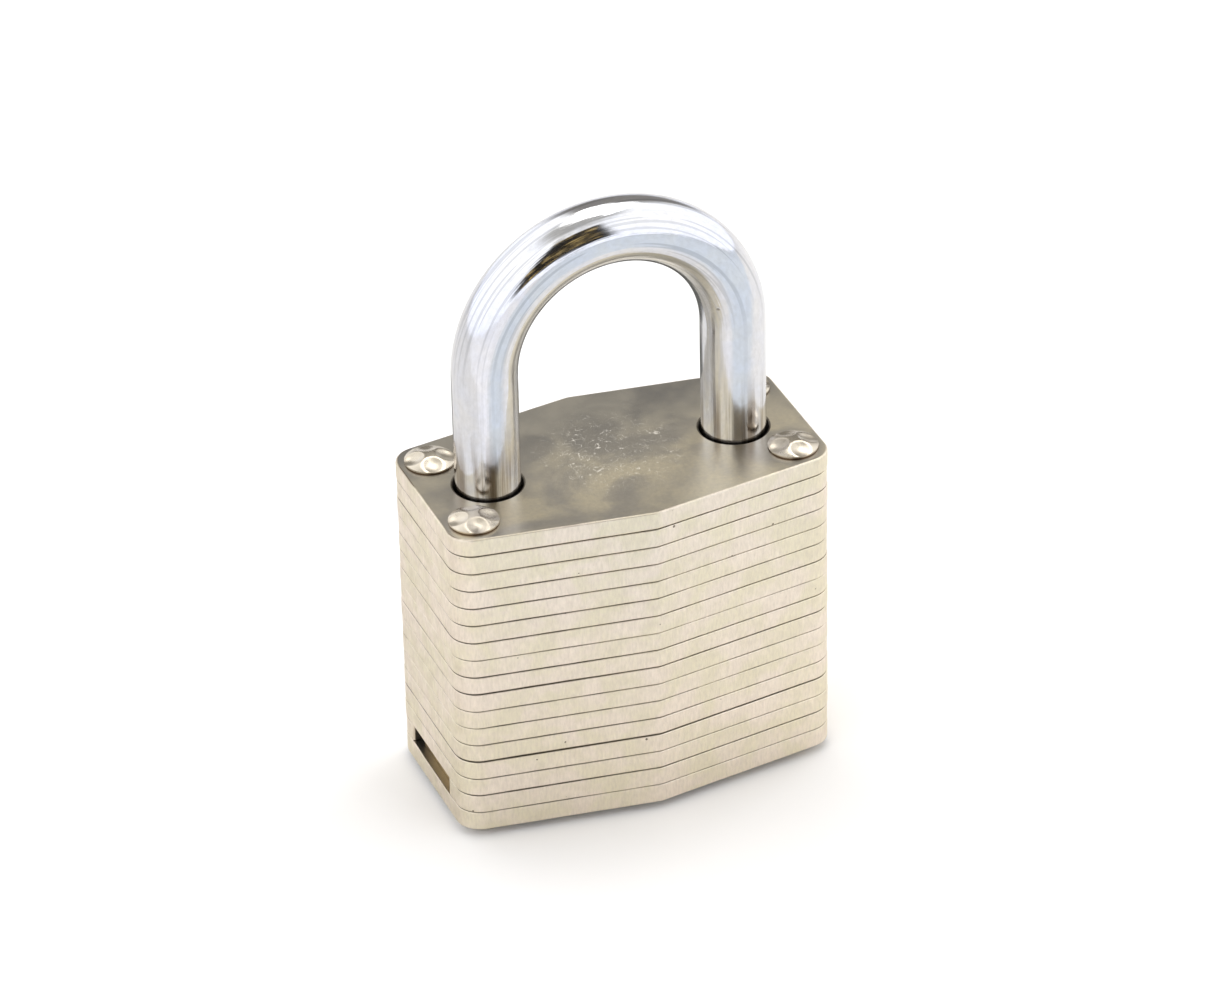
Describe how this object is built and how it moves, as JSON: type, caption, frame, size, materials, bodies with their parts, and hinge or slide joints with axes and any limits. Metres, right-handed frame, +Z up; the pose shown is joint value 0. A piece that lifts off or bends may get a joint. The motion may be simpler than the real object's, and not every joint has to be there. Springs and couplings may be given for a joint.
{
  "type": "padlock",
  "caption": "Laminated steel padlock with riveted plate body, round shackle that lifts, two sliding locking dogs and a turning pin-tumbler cylinder.",
  "frame": {"origin": "middle of the footprint, on the plane that the four lower rivet heads stand on", "axes": "+X across the body towards the heel leg of the shackle, -Y out of the front, +Z up through the shackle"},
  "size_m": [0.04, 0.0234, 0.0635],
  "materials": {
    "plate_steel": "satin nickel plate with a warm tarnish, rolled edges with fine vertical grain",
    "rivet_nickel": "bright worn nickel plate",
    "shackle_chrome": "polished chrome plate",
    "housing_brass": "machined, dull",
    "plug_brass": "machined, bright",
    "cam_steel": "zinc plated",
    "dog_steel": "hardened, dark grey",
    "spring_steel": "drawn wire",
    "retainer_brass": "tarnished, oily brown",
    "key_pin_brass": "turned",
    "driver_pin_nickel": "turned nickel silver"
  },
  "bodies": {
    "body": {"plate_01": "plate_steel", "plate_02": "plate_steel", "plate_03": "plate_steel", "plate_04": "plate_steel", "plate_05": "plate_steel", "plate_06": "plate_steel", "plate_07": "plate_steel", "plate_08": "plate_steel", "plate_09": "plate_steel", "plate_10": "plate_steel", "plate_11": "plate_steel", "plate_12": "plate_steel", "plate_13": "plate_steel", "plate_14": "plate_steel", "plate_15": "plate_steel", "plate_16": "plate_steel", "plate_17": "plate_steel", "rivet_front_left": "rivet_nickel", "rivet_front_right": "rivet_nickel", "rivet_back_left": "rivet_nickel", "rivet_back_right": "rivet_nickel", "cylinder_housing": "housing_brass", "pin_cover": "housing_brass", "cylinder_retainer": "retainer_brass", "shackle_spring": "spring_steel", "dog_spring_left": "spring_steel", "dog_spring_right": "spring_steel", "pin_spring_1": "spring_steel", "pin_spring_2": "spring_steel", "pin_spring_3": "spring_steel", "pin_spring_4": "spring_steel"},
    "shackle": {"shackle": "shackle_chrome"},
    "plug": {"cylinder_plug": "plug_brass", "plug_clip": "spring_steel", "drive_cam": "cam_steel"},
    "dog_left": {"locking_dog_left": "dog_steel"},
    "dog_right": {"locking_dog_right": "dog_steel"},
    "key_pin_1": {"key_pin_1": "key_pin_brass"},
    "key_pin_2": {"key_pin_2": "key_pin_brass"},
    "key_pin_3": {"key_pin_3": "key_pin_brass"},
    "key_pin_4": {"key_pin_4": "key_pin_brass"},
    "driver_pin_1": {"driver_pin_1": "driver_pin_nickel"},
    "driver_pin_2": {"driver_pin_2": "driver_pin_nickel"},
    "driver_pin_3": {"driver_pin_3": "driver_pin_nickel"},
    "driver_pin_4": {"driver_pin_4": "driver_pin_nickel"}
  },
  "joints": [
    {"name": "shackle_lift", "type": "slide", "parent": "body", "child": "shackle", "axis": [0, 0, 1], "range_m": [0, 0.0134], "deforming": ["shackle_spring"]},
    {"name": "plug_turn", "type": "hinge", "parent": "body", "child": "plug", "pos_m": [0, 0, 0], "axis": [0, 0, 1], "range_deg": [-90, 0]},
    {"name": "dog_left_slide", "type": "slide", "parent": "body", "child": "dog_left", "axis": [-1, 0, 0], "range_m": [0, 0.002], "deforming": ["dog_spring_left"]},
    {"name": "dog_right_slide", "type": "slide", "parent": "body", "child": "dog_right", "axis": [1, 0, 0], "range_m": [0, 0.002], "deforming": ["dog_spring_right"]},
    {"name": "key_pin_1_drop", "type": "slide", "parent": "plug", "child": "key_pin_1", "axis": [0, 1, 0], "range_m": [0, 0.0014]},
    {"name": "key_pin_2_drop", "type": "slide", "parent": "plug", "child": "key_pin_2", "axis": [0, 1, 0], "range_m": [0, 0.0006]},
    {"name": "key_pin_3_drop", "type": "slide", "parent": "plug", "child": "key_pin_3", "axis": [0, 1, 0], "range_m": [0, 0.0018]},
    {"name": "key_pin_4_drop", "type": "slide", "parent": "plug", "child": "key_pin_4", "axis": [0, 1, 0], "range_m": [0, 0.001]},
    {"name": "driver_pin_1_push", "type": "slide", "parent": "body", "child": "driver_pin_1", "axis": [-1, 0, 0], "range_m": [0, 0.0012], "stiffness_N_per_m": 100, "deforming": ["pin_spring_1"]},
    {"name": "driver_pin_2_push", "type": "slide", "parent": "body", "child": "driver_pin_2", "axis": [-1, 0, 0], "range_m": [0, 0.0012], "stiffness_N_per_m": 100, "deforming": ["pin_spring_2"]},
    {"name": "driver_pin_3_push", "type": "slide", "parent": "body", "child": "driver_pin_3", "axis": [-1, 0, 0], "range_m": [0, 0.0012], "stiffness_N_per_m": 100, "deforming": ["pin_spring_3"]},
    {"name": "driver_pin_4_push", "type": "slide", "parent": "body", "child": "driver_pin_4", "axis": [-1, 0, 0], "range_m": [0, 0.0012], "stiffness_N_per_m": 100, "deforming": ["pin_spring_4"]}
  ],
  "couplings": [
    {"joint": "plug_turn", "follows": "dog_left_slide", "rad_per_m": -785.4},
    {"joint": "dog_right_slide", "follows": "dog_left_slide", "ratio": 1}
  ]
}
